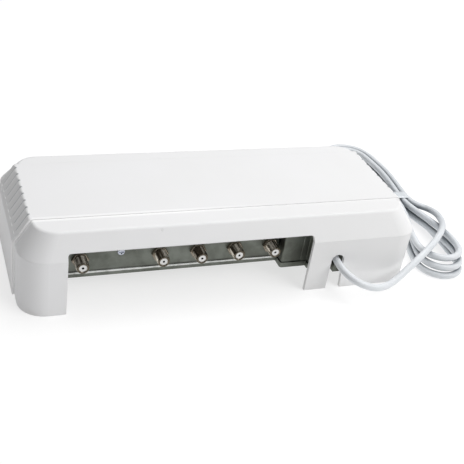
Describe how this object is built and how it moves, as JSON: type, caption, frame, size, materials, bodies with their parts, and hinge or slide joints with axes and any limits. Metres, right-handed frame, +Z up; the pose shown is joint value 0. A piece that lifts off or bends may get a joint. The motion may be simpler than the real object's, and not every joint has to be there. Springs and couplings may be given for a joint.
{
  "type": "tv signal amplifier",
  "caption": "White moulded hood over a tinplate chassis with a row of F sockets and an earthing screw, and a white mains cord tied in a hank beside it.",
  "frame": {"origin": "on the resting surface under the middle of the hood", "axes": "+X along the row of sockets towards the mains lead, -Y out of the front, +Z up"},
  "size_m": [0.3774, 0.2463, 0.061],
  "materials": {
    "hood_plastic": "satin",
    "tinplate": "satin",
    "screw_steel": "zinc plated",
    "nickel_plate": "nickel plated",
    "insulator": "matte",
    "contact_gold": "plated",
    "gland_plastic": "matte",
    "board": "laminate",
    "can_metal": "drawn",
    "copper": "enamelled copper",
    "ferrite": "matte",
    "black_plastic": "matte",
    "sink_metal": "extruded",
    "terminal_plastic": "matte",
    "cord_sheath": "smooth flexible sheath",
    "tie_plastic": "translucent strap",
    "pin_brass": "nickel plated"
  },
  "bodies": {
    "chassis": {"bottom_tray": "tinplate", "chassis_frame": "tinplate", "top_lid": "tinplate", "shield_fence": "tinplate", "wall_bracket_left": "tinplate", "wall_bracket_right": "tinplate", "lid_screws": "screw_steel", "earth_screw": "screw_steel", "bracket_screws": "screw_steel", "transformer_clamp": "screw_steel", "f_socket_1": "nickel_plate", "f_nut_1": "nickel_plate", "f_dielectric_1": "insulator", "f_contact_1": "contact_gold", "f_socket_2": "nickel_plate", "f_nut_2": "nickel_plate", "f_dielectric_2": "insulator", "f_contact_2": "contact_gold", "f_socket_3": "nickel_plate", "f_nut_3": "nickel_plate", "f_dielectric_3": "insulator", "f_contact_3": "contact_gold", "f_socket_4": "nickel_plate", "f_nut_4": "nickel_plate", "f_dielectric_4": "insulator", "f_contact_4": "contact_gold", "f_socket_5": "nickel_plate", "f_nut_5": "nickel_plate", "f_dielectric_5": "insulator", "f_contact_5": "contact_gold", "cord_gland": "gland_plastic", "rf_board": "board", "psu_board": "board", "board_spacers": "insulator", "rf_transistors": "can_metal", "board_capacitors": "can_metal", "smoothing_capacitor": "can_metal", "fuse_clips": "can_metal", "fuse": "can_metal", "filter_coils": "copper", "transformer_winding": "copper", "splitter_cores": "ferrite", "transformer_core": "ferrite", "rectifier_bridge": "black_plastic", "regulator": "black_plastic", "heat_sink": "sink_metal", "terminal_block": "terminal_plastic", "mains_wires": "cord_sheath", "mains_lead": "cord_sheath", "cord_hank": "cord_sheath", "mains_tail": "cord_sheath", "plug_body": "cord_sheath", "hank_tie": "tie_plastic", "plug_pins": "pin_brass"},
    "cover": {"hood": "hood_plastic"}
  },
  "joints": [
    {"name": "hood_lift", "type": "slide", "parent": "chassis", "child": "cover", "axis": [0, 0, 1], "range_m": [0, 0.07]}
  ]
}
